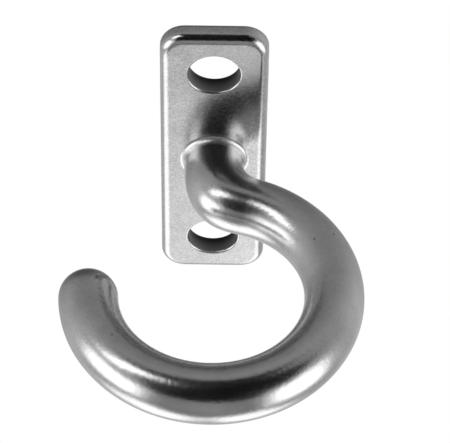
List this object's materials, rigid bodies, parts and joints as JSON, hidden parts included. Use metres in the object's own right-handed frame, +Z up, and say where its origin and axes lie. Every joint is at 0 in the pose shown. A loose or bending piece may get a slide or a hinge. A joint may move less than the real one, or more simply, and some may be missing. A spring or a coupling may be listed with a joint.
{
  "type": "ceiling hook",
  "caption": "Open round hook on a stem from an oblong screw-on ceiling plate, one solid casting of polished stainless steel.",
  "frame": {"origin": "middle of the plate's back face, which lies against the ceiling", "axes": "+Z up into the ceiling, square to the plate; Y along the plate's long side; the ring hangs in the XZ plane, bulges toward +X from the stem and opens toward -X"},
  "size_m": [0.0486, 0.0568, 0.0568],
  "materials": {
    "polished_steel": "tumble-polished stainless steel, satin with soft mirror streaks"
  },
  "bodies": {
    "root": {"ceiling_hook": "polished_steel"}
  },
  "joints": []
}
